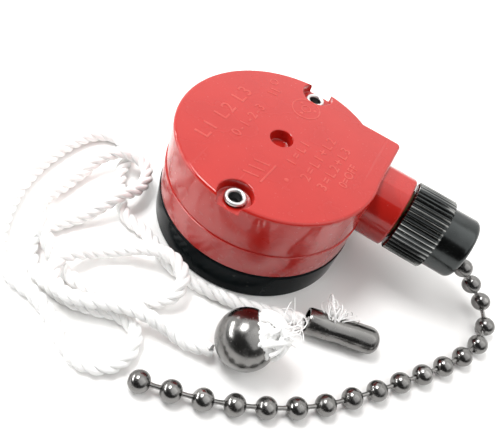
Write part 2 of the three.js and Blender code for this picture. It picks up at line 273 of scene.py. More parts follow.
@dataclass(frozen=True)
class MouldedPlastic(Finish):
    """Glossy or matt moulded plastic: flow mottling, a faint orange peel, dust and hairline scuffs."""

    deep_colour: Colour = (0, 0, 0)
    peel_depth: float = 4e-6
    coat: float = 0.0
    scatter: float = 0.0
    dustiness: float = 0.08
    ior: float = 1.45

    def make(self) -> bpy.types.Material:
        """Makes the material."""
        graph = Graph(self.name)
        place = graph.object_place()
        mottle = graph.noise(place, 170, 3).above(0.3, 0.7)
        peel = graph.noise(place, 1500, 2)
        dust = graph.noise(place, 2600, 1).above(0.71, 0.78)
        scuffs = self.scuffs(graph)
        body = graph.mix(mottle, self.colour, self.deep_colour)
        base = graph.mix(dust * self.dustiness + scuffs * 0.04, body, (0.7, 0.66, 0.62))
        roughness = mottle * 0.02 + scuffs * 0.1 + dust * 0.15 + self.roughness
        height = peel * 0.5 + scuffs * -0.25
        normal = graph.bump(height, self.peel_depth)
        graph.put(graph.shader, {"Base Color": base, "Roughness": roughness, "Normal": normal})
        graph.put(graph.shader, {"Coat Weight": self.coat, "Coat Roughness": 0.05})
        graph.put(graph.shader, {"IOR": self.ior, "Subsurface Weight": self.scatter})
        graph.put(graph.shader, {"Subsurface Radius": (1.0, 0.2, 0.1)})
        graph.put(graph.shader, {"Subsurface Scale": 0.8 * MM})
        return graph.material

    @staticmethod
    def scuffs(graph: Graph) -> Socket:
        """A mask of fine scratches in two directions."""
        masks = []
        for angle in (0.5, 1.9):
            place = graph.object_place((900, 26, 900), (0, 0, angle))
            masks.append(graph.noise(place, 1, 1).above(0.72, 0.8))
        return masks[0].math("MAXIMUM", masks[1])


@dataclass(frozen=True)
class PlatedMetal(Finish):
    """Plated or drawn metal: clouds, drawing lines, handling smudges, worn edges with painted
    highlight.
    """

    # The colour and strength of the bright convex edges: edge wear and a painted highlight together.
    edge_wear_and_highlight_colour: Colour = (0.5, 0.5, 0.5)
    edge_wear_and_highlight: float = 0.4
    line_depth: float = 1e-6
    lines_along: Colour = (40, 2500, 2500)
    shade_below: float = 0.0  # the height under which the colour is painted dark, as painted shade in a bore

    def make(self) -> bpy.types.Material:
        """Makes the material."""
        graph = Graph(self.name)
        place = graph.object_place()
        cloud = graph.noise(place, 330, 3).above(0.3, 0.7)
        smudge = graph.noise(place, 900, 4, 0.6).above(0.45, 0.75)
        pits = graph.noise(place, 5200, 1).above(0.7, 0.8)
        lines = graph.noise(graph.object_place(self.lines_along), 1, 2)
        # Convex edges are brightened, partly as edge wear and partly as a painted highlight along the
        # edges.
        edges = graph.worn_and_highlit_edges(0.515, 0.6) * self.edge_wear_and_highlight
        dark = tuple(0.7 * c for c in self.colour)
        base = graph.mix(cloud * 0.6, self.colour, dark)
        base = graph.mix(edges, base, self.edge_wear_and_highlight_colour)
        if self.shade_below:
            # Below this height the colour is painted dark: painted shade inside the bore.
            height = graph.add("ShaderNodeSeparateXYZ", {}, {0: place}, "Z")
            bore_shade = tuple(0.22 * c for c in self.colour)
            unshaded = height.above(self.shade_below - 0.1 * MM, self.shade_below)
            base = graph.mix(unshaded, bore_shade, base)
        roughness = smudge * 0.1 + cloud * 0.04 + pits * 0.15 + self.roughness
        normal = graph.bump(lines + pits * -0.6, self.line_depth)
        graph.put(graph.shader, {"Base Color": base, "Roughness": roughness, "Normal": normal})
        graph.put(graph.shader, {"Metallic": 1.0})
        return graph.material


@dataclass(frozen=True)
class TwistedFibre(Finish):
    """White staple or filament cord, whose fibres follow each strand's own map."""

    shade: Colour = (0.55, 0.54, 0.52)
    fibres_round: float = 13
    fibres_along: float = 60

    def make(self) -> bpy.types.Material:
        """Makes the material."""
        graph = Graph(self.name)
        uv = graph.add("ShaderNodeUVMap", {"uv_map": "UVMap"}, {})
        stretch = {"Vector": uv, "Scale": (self.fibres_along, self.fibres_round, 1)}
        fibre_place = graph.add("ShaderNodeMapping", {}, stretch)
        fibres = graph.noise(fibre_place, 1, 3, 0.6)
        patches = graph.noise(graph.object_place(), 420, 2).above(0.3, 0.75)
        grooves = fibres.above(0.3, 0.5)
        shaded = graph.mix(patches * 0.12, self.colour, self.shade)
        # The grooves between fibres are painted darker, as painted shade.
        base = graph.mix((1 - grooves) * 0.5, shaded, self.shade)
        roughness = patches * 0.15 + self.roughness
        graph.put(graph.shader, {"Base Color": base, "Roughness": roughness})
        graph.put(graph.shader, {"Normal": graph.bump(fibres, 5e-5, 0.6), "Sheen Weight": 0.35})
        graph.put(graph.shader, {"Subsurface Weight": 0.25, "Subsurface Scale": 0.0007})
        graph.put(graph.shader, {"Subsurface Radius": (1.0, 0.95, 0.9)})
        return graph.material


RED = MouldedPlastic(
    name="red_moulding",
    slot=Slot.RED_PLASTIC,
    colour=(0.45, 0.014, 0.009),
    roughness=0.26,
    deep_colour=(0.42, 0.011, 0.007),
    peel_depth=2e-6,
    coat=0.7,
    scatter=0.08,
    dustiness=0.06,
    ior=1.28,
)
# The marks are coloured lighter than the moulding: painted light on the raised strokes.
RED_MARK = MouldedPlastic(
    name="red_marks_painted_light",
    slot=Slot.RED_PLASTIC,
    colour=(0.54, 0.07, 0.055),
    roughness=0.34,
    deep_colour=(0.5, 0.05, 0.04),
    peel_depth=2e-6,
    scatter=0.08,
)
BLACK = MouldedPlastic(
    name="black_moulding",
    slot=Slot.BLACK_PLASTIC,
    colour=(0.003, 0.005, 0.006),
    roughness=0.07,
    deep_colour=(0.005, 0.008, 0.009),
    peel_depth=1e-6,
    dustiness=0.01,
    ior=1.12,
)
NYLON = MouldedPlastic(
    name="cream_moulding",
    slot=Slot.CREAM_NYLON,
    colour=(0.75, 0.69, 0.54),
    roughness=0.5,
    deep_colour=(0.68, 0.61, 0.46),
    peel_depth=6e-6,
)
GUNMETAL = PlatedMetal(
    name="gunmetal_plate",
    slot=Slot.BLACK_NICKEL,
    colour=(0.23, 0.226, 0.22),
    roughness=0.19,
    edge_wear_and_highlight_colour=(0.5, 0.49, 0.48),
    edge_wear_and_highlight=0.3,
)
NUT_PLATE = PlatedMetal(
    name="black_nickel_plate",
    slot=Slot.BLACK_NICKEL,
    colour=(0.065, 0.07, 0.07),
    roughness=0.17,
    # The knurl's ridges get bright edges: partly wear, partly a painted highlight.
    edge_wear_and_highlight_colour=(0.55, 0.55, 0.53),
    edge_wear_and_highlight=0.6,
    line_depth=2e-6,
    lines_along=(2500, 60, 60),
)
ZINC = PlatedMetal(
    name="zinc_plate",
    slot=Slot.BRIGHT_ZINC,
    colour=(0.78, 0.78, 0.77),
    roughness=0.38,
    edge_wear_and_highlight_colour=(0.95, 0.95, 0.94),
    edge_wear_and_highlight=0.3,
    # The rivets' bores are painted dark below this height, as painted shade.
    shade_below=16.9 * MM,
)
BRASS = PlatedMetal("satin_brass", Slot.BRASS, (0.6, 0.4, 0.14), 0.3, (0.85, 0.65, 0.3))
STAINED_BRASS = PlatedMetal(
    "stained_brass", Slot.BRASS, (0.13, 0.09, 0.045), 0.36, (0.3, 0.22, 0.1)
)
COPPER = PlatedMetal("satin_copper", Slot.COPPER, (0.62, 0.27, 0.13), 0.3, (0.85, 0.5, 0.3))
STEEL = PlatedMetal("drawn_steel", Slot.SPRING_STEEL, (0.42, 0.42, 0.41), 0.25, (0.7, 0.7, 0.7))
COTTON = TwistedFibre(
    "twisted_cord", Slot.WHITE_CORD, (0.97, 0.97, 0.96), 0.75, (0.74, 0.73, 0.71)
)
LOOSE_FIBRE = TwistedFibre(
    name="loose_fibre",
    slot=Slot.WHITE_CORD,
    colour=(0.97, 0.97, 0.96),
    roughness=0.6,
    shade=(0.85, 0.84, 0.82),
    fibres_round=3,
    fibres_along=8,
)


# Forms


def shares(count: int) -> list[float]:
    """Even steps from 0 to 1, both ends included."""
    return [i / count for i in range(count + 1)]


class Form:
    """A mesh in the making, in metres, worked with bmesh operators."""

    def __init__(self) -> None:
        """Starts an empty form."""
        self.bm = bmesh.new()

    @classmethod
    def lathe(cls, profile: Profile, start: Vector, axis: Vector, steps: int = 64) -> "Form":
        """Spins a closed profile, or one that begins and ends on the axis.

        Args:
            profile: Each point as (radius, distance along the axis).
            start: Where the distance is 0.
            axis: The axis's direction.
            steps: Faces round.

        Returns:
            A closed form.
        """
        form = cls()
        axis = axis.normalized()
        across = axis.orthogonal().normalized()
        points = [start + axis * along + across * radius for radius, along in profile]
        verts = [form.bm.verts.new(p) for p in points]
        for first, second in zip(verts, verts[1:]):
            form.bm.edges.new((first, second))
        if profile[0][0] or profile[-1][0]:
            form.bm.edges.new((verts[-1], verts[0]))
        whole = [*form.bm.verts, *form.bm.edges]
        bmesh.ops.spin(
            form.bm, geom=whole, cent=start, axis=axis, angle=TAU, steps=steps, use_merge=True
        )
        form.tidy()
        return form

    @classmethod
    def post(
        cls, radius: float, low: float, high: float, at: Vector = Vector(), steps: int = 64
    ) -> "Form":
        """An upright cylinder."""
        base = Vector((at.x, at.y, low))
        height = high - low
        return cls.lathe([(0, 0), (radius, 0), (radius, height), (0, height)], base, UP, steps)

    @classmethod
    def block(cls, low: Sequence[float], high: Sequence[float]) -> "Form":
        """A box between two corners."""
        form = cls()
        bmesh.ops.create_cube(form.bm, size=1)
        low, high = Vector(low), Vector(high)
        scale = Matrix.Diagonal((*(high - low), 1))
        form.bm.transform(Matrix.Translation((low + high) / 2) @ scale)
        return form

    @classmethod
    def unit_ball(cls, steps: int, rings: int) -> "Form":
        """A sphere of radius 1 round the origin, with its poles on Z."""
        form = cls()
        bmesh.ops.create_uvsphere(form.bm, u_segments=steps, v_segments=rings, radius=1)
        return form

    @classmethod
    def of_object(cls, thing: bpy.types.Object) -> "Form":
        """The evaluated mesh of a temporary object, which is removed."""
        form = cls()
        evaluated = thing.evaluated_get(bpy.context.evaluated_depsgraph_get())
        mesh = bpy.data.meshes.new_from_object(evaluated)
        form.bm.from_mesh(mesh)
        bpy.data.meshes.remove(mesh)
        bpy.data.objects.remove(thing)
        return form

    def arc(self, centre: Vector, start: Vector, angle: float, steps: int) -> tuple[Any, Any]:
        """Spins a new vertex about Z and returns its first and last vertices."""
        first = self.bm.verts.new(start)
        made = bmesh.ops.spin(
            self.bm, geom=[first], cent=centre, axis=UP, angle=angle, steps=steps
        )
        return first, made["geom_last"][0]

    def tidy(self) -> None:
        """Merges doubles and turns the faces outwards."""
        bmesh.ops.remove_doubles(self.bm, verts=self.bm.verts, dist=MERGE_DISTANCE)
        bmesh.ops.recalc_face_normals(self.bm, faces=self.bm.faces)

    def transform(self, matrix: Matrix) -> "Form":
        """Moves the whole form."""
        self.bm.transform(matrix)
        return self

    def edges_at(self, axis: int, value: float) -> list[Any]:
        """The edges that lie in a plane across an axis."""
        near = {v for v in self.bm.verts if abs(v.co[axis] - value) < PLANE_TOLERANCE}
        return [e for e in self.bm.edges if near.issuperset(e.verts)]

    def rounded(self, edges: Sequence[Any], width: float, segments: int = 3) -> "Form":
        """Rounds edges."""
        bmesh.ops.bevel(
            self.bm,
            geom=list(edges),
            offset=width,
            segments=segments,
            profile=0.5,
            affect="EDGES",
            material=-1,
        )
        return self

    def added(self, *others: "Form") -> "Form":
        """Takes others in as separate shells."""
        for other in others:
            mesh = bpy.data.meshes.new("part")
            other.bm.to_mesh(mesh)
            self.bm.from_mesh(mesh)
            bpy.data.meshes.remove(mesh)
        return self

    def placed(self, name: str) -> bpy.types.Object:
        """The form as an object in the scene."""
        mesh = bpy.data.meshes.new(name)
        self.bm.to_mesh(mesh)
        thing = bpy.data.objects.new(name, mesh)
        bpy.context.scene.collection.objects.link(thing)
        return thing

    def carved(self, how: Carve, *tools: "Form") -> "Form":
        """Cuts tools out of the form, or joins them to it, one after the other."""
        for tool in tools:
            target, cutter = self.placed("target"), tool.placed("cutter")
            modifier = target.modifiers.new("carve", "BOOLEAN")
            modifier.operation = how.value
            modifier.solver = "EXACT"
            modifier.object = cutter
            self.bm = Form.of_object(target).bm
            bpy.data.objects.remove(cutter)
        return self


def publish(
    form: Form, name: str, body: Body, finish: Finish, smooth: float
) -> bpy.types.Object:
    """Makes a finished piece from a form.

    Args:
        form: The form, in place.
        name: The piece's name.
        body: The body that it rides on.
        finish: Its finish.
        smooth: Edges sharper than this many degrees stay sharp.

    Returns:
        The piece.
    """
    piece = form.placed(name)
    piece.data.shade_smooth()
    piece.data.set_sharp_from_angle(angle=math.radians(smooth))
    piece.data.materials.clear()
    piece.data.materials.append(finish.material())
    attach(piece, body.value)
    LOG.info("%s: %d faces, on %s", name, len(piece.data.polygons), body.value)
    return piece


def flatten_shading(piece: bpy.types.Object) -> None:
    """Lets the large faces lead the shading, so that flats stay flat beside rounded edges."""
    modifier = piece.modifiers.new("weighted", "WEIGHTED_NORMAL")
    modifier.keep_sharp = True


def smooth_route(points: Sequence[Vector], spacing: float) -> list[Vector]:
    """A centripetal Catmull-Rom line through points.

    Args:
        points: The points that it passes.
        spacing: The distance between the points that are returned.

    Returns:
        Evenly spaced points, from the first to the last.
    """
    per_span = 40
    padded = [2 * points[0] - points[1], *points, 2 * points[-1] - points[-2]]
    dense = []
    for a, b, c, d in zip(padded, padded[1:], padded[2:], padded[3:]):
        knots = [0.0]
        for first, second in ((a, b), (b, c), (c, d)):
            knots.append(knots[-1] + math.sqrt((second - first).length))
        for i in range(per_span):
            t = knots[1] + (knots[2] - knots[1]) * i / per_span
            first = a.lerp(b, t / knots[1])
            middle = b.lerp(c, (t - knots[1]) / (knots[2] - knots[1]))
            last = c.lerp(d, (t - knots[2]) / (knots[3] - knots[2]))
            low = first.lerp(middle, t / knots[2])
            high = middle.lerp(last, (t - knots[1]) / (knots[3] - knots[1]))
            dense.append(low.lerp(high, (t - knots[1]) / (knots[2] - knots[1])))
    dense.append(points[-1].copy())
    return evenly(dense, spacing)


def line_length(points: Sequence[Vector]) -> float:
    """The length of a line through points."""
    return sum((b - a).length for a, b in zip(points, points[1:]))


def evenly(points: Sequence[Vector], spacing: float) -> list[Vector]:
    """A line's points again at an even spacing."""
    count = max(2, round(line_length(points) / spacing))
    step = line_length(points) / count
    result, walked, wanted = [points[0].copy()], 0.0, step
    for a, b in zip(points, points[1:]):
        length = (b - a).length
        while length and walked + length >= wanted and len(result) < count:
            result.append(a.lerp(b, (wanted - walked) / length))
            wanted += step
        walked += length
    return [*result, points[-1].copy()]


def side_vectors(points: Sequence[Vector]) -> list[tuple[Vector, Vector]]:
    """Two directions across a line at each of its points, which turn as little as they can."""
    across = (points[1] - points[0]).orthogonal().normalized()
    pairs = []
    for i, _ in enumerate(points):
        ahead = points[min(i + 1, len(points) - 1)]
        tangent = (ahead - points[max(i - 1, 0)]).normalized()
        across = (across - tangent * across.dot(tangent)).normalized()
        pairs.append((across.copy(), tangent.cross(across)))
    return pairs


def tubes(
    name: str, lines: Sequence[Sequence[Vector]], radii: Sequence[Sequence[float]], sides: int = 3
) -> Form:
    """Round tubes along lines.

    Args:
        name: A name for the curve while it is made.
        lines: Each tube's points.
        radii: Each tube's radius at its points.
        sides: The curve's bevel resolution; a tube has 4 more sides than twice this.

    Returns:
        The tubes as one form, each with its own map.
    """
    curve = bpy.data.curves.new(name, "CURVE")
    curve.dimensions = "3D"
    curve.bevel_depth = 1.0
    curve.bevel_resolution = sides
    curve.use_fill_caps = True
    for line, widths in zip(lines, radii):
        spline = curve.splines.new("POLY")
        spline.points.add(len(line) - 1)
        for point, place, width in zip(spline.points, line, widths):
            point.co = (*place, 1)
            point.radius = width
    thing = bpy.data.objects.new(name, curve)
    bpy.context.scene.collection.objects.link(thing)
    return Form.of_object(thing)


# Sub-assemblies


@dataclass
class Studio:
    """The camera, the pale table and plain soft light."""

    camera_place: Vector = Vector((0.01183, -0.05879, 0.06806))
    camera_ahead: Vector = Vector((-0.131, 0.643, -0.754))
    camera_up: Vector = Vector((-0.513, 0.607, 0.607))
    lens: float = 38.4
    table_half: float = 0.9
    target: Vector = Vector((0.005, -0.005, 0.008))

    # Each soft box: its name, the way to it, its distance, its width and height, and its power.
    LIGHTS = (
        ("key", (-0.40, 0.02, 0.86), 0.34, (0.13, 0.1), 0.78),
        ("back", (-0.15, 0.78, 0.62), 0.5, (0.5, 0.22), 0.12),
        ("window", (-0.87, -0.2, 0.36), 0.5, (0.42, 0.025), 1.5),
        ("fill", (0.5, -0.1, 0.85), 0.5, (0.6, 0.6), 1.2),
    )

    def build(self) -> None:
        """Makes the camera, the table and the lights."""
        self.build_camera()
        self.build_table()
        for name, towards, distance, size, power in self.LIGHTS:
            self.build_light(name, Vector(towards), distance, size, power)
        self.build_surroundings()

    def build_camera(self) -> None:
        """Makes the camera."""
        camera = bpy.data.objects.new("camera", bpy.data.cameras.new("camera"))
        bpy.context.scene.collection.objects.link(camera)
        ahead = self.camera_ahead.normalized()
        right = ahead.cross(self.camera_up).normalized()
        turn = Matrix((right, right.cross(ahead), -ahead)).transposed()
        camera.matrix_world = Matrix.Translation(self.camera_place) @ turn.to_4x4()
        camera.data.lens = self.lens
        camera.data.clip_start = 0.001
        bpy.context.scene.camera = camera
        bpy.context.scene.view_settings.view_transform = "Standard"

    def build_table(self) -> None:
        """Makes the table's top."""
        form = Form()
        bmesh.ops.create_grid(form.bm, x_segments=4, y_segments=4, size=self.table_half)
        table = form.placed("table")
        graph = Graph("white_table")
        cloud = graph.noise(graph.object_place(), 30, 3)
        pale, deep = (0.96, 0.955, 0.945), (0.94, 0.933, 0.92)
        base = graph.mix(cloud.above(0.3, 0.7) * 0.4, pale, deep)
        graph.put(graph.shader, {"Base Color": base, "Roughness": 0.55})
        table.data.materials.append(graph.material)

    def build_light(
        self, name: str, towards: Vector, distance: float, size: tuple[float, float], power: float
    ) -> None:
        """Makes one soft box.

        Args:
            name: Its name.
            towards: The direction from the object to it.
            distance: How far it is from the object.
            size: Its width and height.
            power: Its power in watts.
        """
        light = bpy.data.lights.new(name, "AREA")
        light.shape = "RECTANGLE"
        light.size, light.size_y = size
        light.energy = power
        thing = bpy.data.objects.new(name, light)
        bpy.context.scene.collection.objects.link(thing)
        turn = towards.to_track_quat("Z", "Y").to_matrix().to_4x4()
        place = self.target + towards.normalized() * distance
        thing.matrix_world = Matrix.Translation(place) @ turn

    @staticmethod
    def build_surroundings() -> None:
        """Makes the room's own light: pale behind and above, darker in front."""
        world = bpy.data.worlds.new("room")
        bpy.context.scene.world = world
        world.use_nodes = True
        nodes, links = world.node_tree.nodes, world.node_tree.links
        place = nodes.new("ShaderNodeTexCoord")
        split = nodes.new("ShaderNodeSeparateXYZ")
        ramp = nodes.new("ShaderNodeMapRange")
        links.new(place.outputs["Generated"], split.inputs[0])
        links.new(split.outputs["Y"], ramp.inputs["Value"])
        ends = {"From Min": -0.35, "From Max": 0.45, "To Min": 0.05, "To Max": 1.2}
        for key, value in ends.items():
            ramp.inputs[key].default_value = value
        links.new(ramp.outputs[0], nodes["Background"].inputs["Strength"])
        nodes["Background"].inputs["Color"].default_value = (1.0, 0.99, 0.975, 1)


@dataclass
class PullCord:
    """The loose twisted cord, from its connector to its knob."""

    diameter: float = 0.002
    strand_radius: float = 0.00051
    helix_radius: float = 0.00054
    lay: float = 0.0051  # length of one full twist
    strands: int = 3
    step: float = 0.00034

    # The cord's line in millimetres, from its connector to its knob.
    ROUTE = (
        (16.2, -14.1, 2.1), (12.6, -15.2, 1.4), (8.6, -16.5, 1.1), (4.4, -17.6, 1.1),
        (0.2, -18.1, 1.1), (-4.2, -17.8, 1.1), (-8.2, -16.3, 1.1), (-11.4, -15.2, 1.1),
        (-14.6, -14.8, 1.1), (-17.4, -13, 1.1), (-19.7, -10.3, 1.1), (-21.5, -7.3, 1.1),
        (-22.8, -4.1, 1.1), (-24.9, -2.2, 1.1), (-27.8, -2.3, 1.1), (-30, -4.5, 1.1),
        (-31.1, -7.9, 1.1), (-31.5, -11.6, 1.1), (-31.4, -15.6, 1.1), (-30.7, -19.6, 1.1),
        (-29.2, -23.8, 1.1), (-27, -27.8, 1.1), (-24, -31, 1.1), (-20.2, -32.6, 1.1),
        (-16.4, -32.9, 1.1), (-12.8, -34, 1.1), (-9.2, -35.8, 1.1), (-5.6, -36.8, 1.1),
        (-2.5, -35.5, 1.1), (-1.2, -32.5, 1.1), (-2.5, -29.5, 1.1), (-5.6, -28.7, 1.1),
        (-8.9, -29.9, 1.1), (-12.2, -30.8, 1.1), (-15.6, -30.7, 1.1), (-19, -29.9, 1.1),
        (-21.8, -27.7, 1.1), (-22.8, -24.6, 1.1), (-21.4, -21.4, 1.1), (-19.8, -18.6, 1.4),
        (-18.3, -15.9, 2.6), (-17.1, -13.2, 3.5), (-16.1, -10.2, 3.2), (-16.9, -7, 3.1),
        (-19.4, -5.2, 3.2), (-22.3, -5.8, 3.5), (-24.8, -8.2, 2.4), (-25.7, -11.6, 1.3),
        (-26, -15.4, 1.1), (-26.2, -18.6, 1.4), (-25.5, -21.6, 2.4), (-23.4, -24, 3.5),
        (-20.8, -25.7, 2.7), (-18.2, -27, 1.4), (-15.2, -27.9, 1.1), (-12, -28, 1.1),
        (-8.9, -27.4, 1.1), (-5.8, -26.1, 1.1), (-3.1, -24.4, 1.2), (-1.1, -22, 2.2),
        (-1.6, -19.5, 3.2), (-3.8, -18.1, 3.5), (-6.4, -18.1, 3.5), (-9, -19, 2.9),
        (-11.4, -20.3, 1.9), (-13.9, -22.6, 1.6), (-15.8, -25.3, 2.7), (-16.6, -28, 3.6),
        (-15.3, -30.5, 3.5), (-12.7, -31.4, 3.4), (-9.7, -30.4, 3.4), (-6.5, -28.9, 3.4),
        (-3, -27.7, 3.2), (0.9, -27, 2), (4.2, -26.9, 1.5), (7.45, -26, 2),
    )

    def build(self, ends: Sequence[bpy.types.Object]) -> None:
        """Makes the cord.

        Args:
            ends: The pieces on its ends; not used.
        """
        route = smooth_route([Vector(p) * MM for p in self.ROUTE], self.step)
        lines, radii = self.strand_lines(route)
        cord = publish(tubes("strands", lines, radii), "twisted_cord", Body.CORD, COTTON, 80)
        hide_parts("pull_cord")
        path = route[::3] + [route[-1]]
        length = round(line_length(route), 3)
        LOG.info("cord: %.3f m", length)

    def strand_lines(
        self, route: Sequence[Vector]
    ) -> tuple[list[list[Vector]], list[list[float]]]:
        """Each strand's points and radii round the cord's line."""
        pairs = side_vectors(route)
        lines, radii = [], []
        for strand in range(self.strands):
            line, widths = [], []
            for i, (place, (across, other)) in enumerate(zip(route, pairs)):
                looseness = noise.noise(Vector((i * 0.03, strand * 9.7, 0)))
                turns = i * self.step / self.lay + strand / self.strands
                angle = TAU * turns + 0.5 * looseness
                swell = 1 + 0.04 * noise.noise(Vector((i * 0.11, strand * 5.1, 4)))
                side = across * math.cos(angle) + other * math.sin(angle)
                line.append(place + side * self.helix_radius)
                widths.append(self.strand_radius * swell)
            lines.append(line)
            radii.append(widths)
        return lines, radii


@dataclass
class CordEnds:
    """A crimped connector with the cord's frayed end in it, and a hollow knob with its knot."""

    connector_start: Vector = Vector((0.0167, -0.0139, 0.00215))
    connector_end: Vector = Vector((0.0274, -0.0107, 0.00215))
    barrel_radius: float = 0.00205
    sheet: float = 0.00032
    knob_centre: Vector = Vector((0.0107, -0.0232, 0.0044))
    knob_axis: Vector = Vector((0.71, 0.52, 0.47))
    knob_radius: float = 0.0043
    knob_wall: float = 0.00055
    knob_hole: float = 0.00135
    knob_opening: float = 0.95
    seed: int = 11

    def build(self) -> list[bpy.types.Object]:
        """Makes the pieces and returns them."""
        self.random = random.Random(self.seed)
        return [self.build_connector(), self.build_fray(), self.build_knob(), self.build_knot()]

    def build_connector(self) -> bpy.types.Object:
        """The sheet barrel: open at the cord's end, pinched in the middle, slit at the other."""
        along = self.connector_end - self.connector_start
        length = along.length
        axis = along.normalized()
        outer = self.barrel_radius
        nose = 0.0016  # length of the rounded end
        tip = 0.45 * MM  # radius of the rounded end's opening
        outside = [(outer - 0.12 * MM, 0), (outer, 0.25 * MM), (outer, 0.3 * length)]
        outside += [(outer - 0.16 * MM, 0.47 * length), (outer, 0.62 * length)]
        for share in shares(6):
            angle = share * math.pi / 2
            radius = tip + (outer - tip) * math.cos(angle)
            outside.append((radius, length - nose * (1 - math.sin(angle))))
        inside = []
        for radius, distance in outside:
            setback = self.sheet if distance > length - nose else 0
            inside.append((max(radius - self.sheet, 0.3 * MM), max(distance - setback, 0.0)))
        barrel = Form.lathe([*outside, *reversed(inside)], self.connector_start, axis, 72)
        side = axis.cross(UP).normalized()
        window = Form.unit_ball(40, 24)
        back = (UP * 0.86 - side * 0.5).normalized()
        across = axis.cross(back)
        middle = self.connector_start + axis * 1.7 * MM + back * 2.0 * MM
        place = Matrix.Translation(middle)
        turn = Matrix((axis, across, back)).transposed().to_4x4()
        window.transform(place @ turn @ Matrix.Diagonal((2.9 * MM, 1.45 * MM, 1.9 * MM, 1)))
        slit = Form.block((-0.7 * MM, -0.28 * MM, -3 * MM), (3 * MM, 0.28 * MM, 3 * MM))
        slit.transform(Matrix.Translation(self.connector_end - axis * 0.9 * MM) @ turn)
        seam = Form.block((-2.4 * MM, -0.12 * MM, 0), (2.6 * MM, 0.12 * MM, 3 * MM))
        seam.transform(Matrix.Translation(self.connector_start + axis * 6.2 * MM) @ turn)
        barrel.carved(Carve.CUT, window, slit, seam)
        piece = publish(barrel, "crimp_connector", Body.CORD, GUNMETAL, 40)
        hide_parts("cord_connector")
        return piece

    def fibres(
        self,
        root: Vector,
        spread: float,
        ends: Sequence[Vector],
        count: int,
        width: float,
        bow: Vector,
    ) -> Form:
        """A tuft of curved fibres.

        Args:
            root: Where they start.
            spread: How far their starts scatter.
            ends: Places that they reach, in turn.
            count: How many there are.
            width: A fibre's radius at its root.
            bow: Where their middles lean.

        Returns:
            The tuft.
        """
        lines, radii = [], []
        for i in range(count):
            start = root + self.scatter(spread)
            tip = ends[i % len(ends)] + self.scatter(spread * 1.5)
            lean = bow + self.scatter(bow.length * 0.5 + spread)
            steps = 9
            lines.append([start.lerp(tip, t) + lean * (4 * t * (1 - t)) for t in shares(steps)])
            radii.append([width * (1 - 0.6 * k / steps) for k in range(steps + 1)])
        return tubes("fibres", lines, radii, 1)

    def scatter(self, size: float) -> Vector:
        """A small random offset."""
        return Vector([self.random.uniform(-size, size) for _ in range(3)])

    def build_fray(self) -> bpy.types.Object:
        """The cord's unlaid end, which comes out of the connector's window."""
        axis = (self.connector_end - self.connector_start).normalized()
        root = self.connector_start + axis * 3.6 * MM + UP * 1.2 * MM
        left = [Vector(p) * MM for p in ((18.3, -10.1, 3.6), (18.9, -10.6, 4.4), (19.9, -10.2, 3.9))]
        right = [Vector(p) * MM for p in ((22.6, -9.6, 3.0), (23.8, -10.2, 1.6), (21.9, -9.2, 2.4))]
        tuft_bow, stray_bow = Vector((-0.3, 0.2, 0.9)) * MM, Vector((0.1, 0.5, 0.9)) * MM
        tuft = self.fibres(root, 0.45 * MM, left, 26, 0.17 * MM, tuft_bow)
        stray = self.fibres(root, 0.4 * MM, right, 9, 0.12 * MM, stray_bow)
        mouth, inner_bow = self.connector_start + axis * 0.3 * MM, Vector((0, 0, 0.3)) * MM
        inner = self.fibres(mouth, 0.4 * MM, [root], 14, 0.3 * MM, inner_bow)
        return publish(tuft.added(stray, inner), "connector_fray", Body.CORD, LOOSE_FIBRE, 80)

    def build_knob(self) -> bpy.types.Object:
        """The hollow ball, spun from sheet with a rolled rim."""
        outer, inner = self.knob_radius, self.knob_radius - self.knob_wall
        last = math.pi - self.knob_opening
        profile = []
        first = math.asin(self.knob_hole / outer)
        for i in range(33):
            angle = first + (last - first) * i / 32
            profile.append((outer * math.sin(angle), -outer * math.cos(angle)))
        middle, half = (outer + inner) / 2, self.knob_wall / 2
        for i in range(1, 6):
            roll = i / 6 * math.pi
            radius = middle + half * math.cos(roll)
            ahead = half * math.sin(roll)
            across = radius * math.sin(last) + ahead * math.cos(last)
            profile.append((across, -radius * math.cos(last) + ahead * math.sin(last)))
        first = math.asin(self.knob_hole / inner)
        for i in range(25):
            angle = last + (first - last) * i / 24
            profile.append((inner * math.sin(angle), -inner * math.cos(angle)))
        knob = Form.lathe(profile, self.knob_centre, self.knob_axis, 80)
        piece = publish(knob, "hollow_knob", Body.CORD, GUNMETAL, 50)
        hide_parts("pull_knob")
        return piece

    def build_knot(self) -> bpy.types.Object:
        """The crumpled, glued knot in the knob's mouth, with loops and loose ends of strand."""
        axis = self.knob_axis.normalized()
        swell = Vector((0.13, -0.64, 0.75)) * 0.9 * MM  # the side that it bulges to
        centre = self.knob_centre + axis * 2.5 * MM + swell
        core = Form()
        bmesh.ops.create_icosphere(core.bm, subdivisions=5, radius=2.6 * MM)
        for vert in core.bm.verts:
            direction = vert.co.normalized()
            lumps = noise.fractal(direction * 2.3, 0.9, 2.1, 4)
            vert.co = direction * (2.75 * MM + lumps * 0.9 * MM)
        core.transform(Matrix.Translation(centre))
        across = axis.orthogonal().normalized()
        other = axis.cross(across)
        lines, radii = [], []
        for _ in range(14):
            turn = self.random.uniform(0, TAU)
            tilt = self.random.uniform(-0.7, 0.7)
            sweep = self.random.uniform(1.6, 3.2)
            size = self.random.uniform(2.6, 3.4) * MM
            side = across * math.cos(turn) + other * math.sin(turn)
            over = axis.cross(side) * math.sin(tilt)
            line = []
            for share in shares(14):
                angle = sweep * (share - 0.5)
                ahead = axis * math.cos(angle) * math.cos(tilt)
                point = side * math.sin(angle) + ahead + over
                line.append(centre + point.normalized() * size)
            lines.append(line)
            radii.append([0.42 * MM * (1 - 0.5 * abs(share - 0.5)) for share in shares(14)])
        loops = tubes("loops", lines, radii, 2)
        root = centre + axis * 2 * MM
        tips = [centre + axis * 4.0 * MM + across * 1.5 * MM, centre + axis * 3.6 * MM]
        wisps = self.fibres(root, 1.4 * MM, tips, 26, 0.1 * MM, axis * 0.5 * MM)
        piece = publish(core.added(loops, wisps), "glued_knot", Body.CORD, LOOSE_FIBRE, 80)
        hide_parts("cord_knot")
        return piece


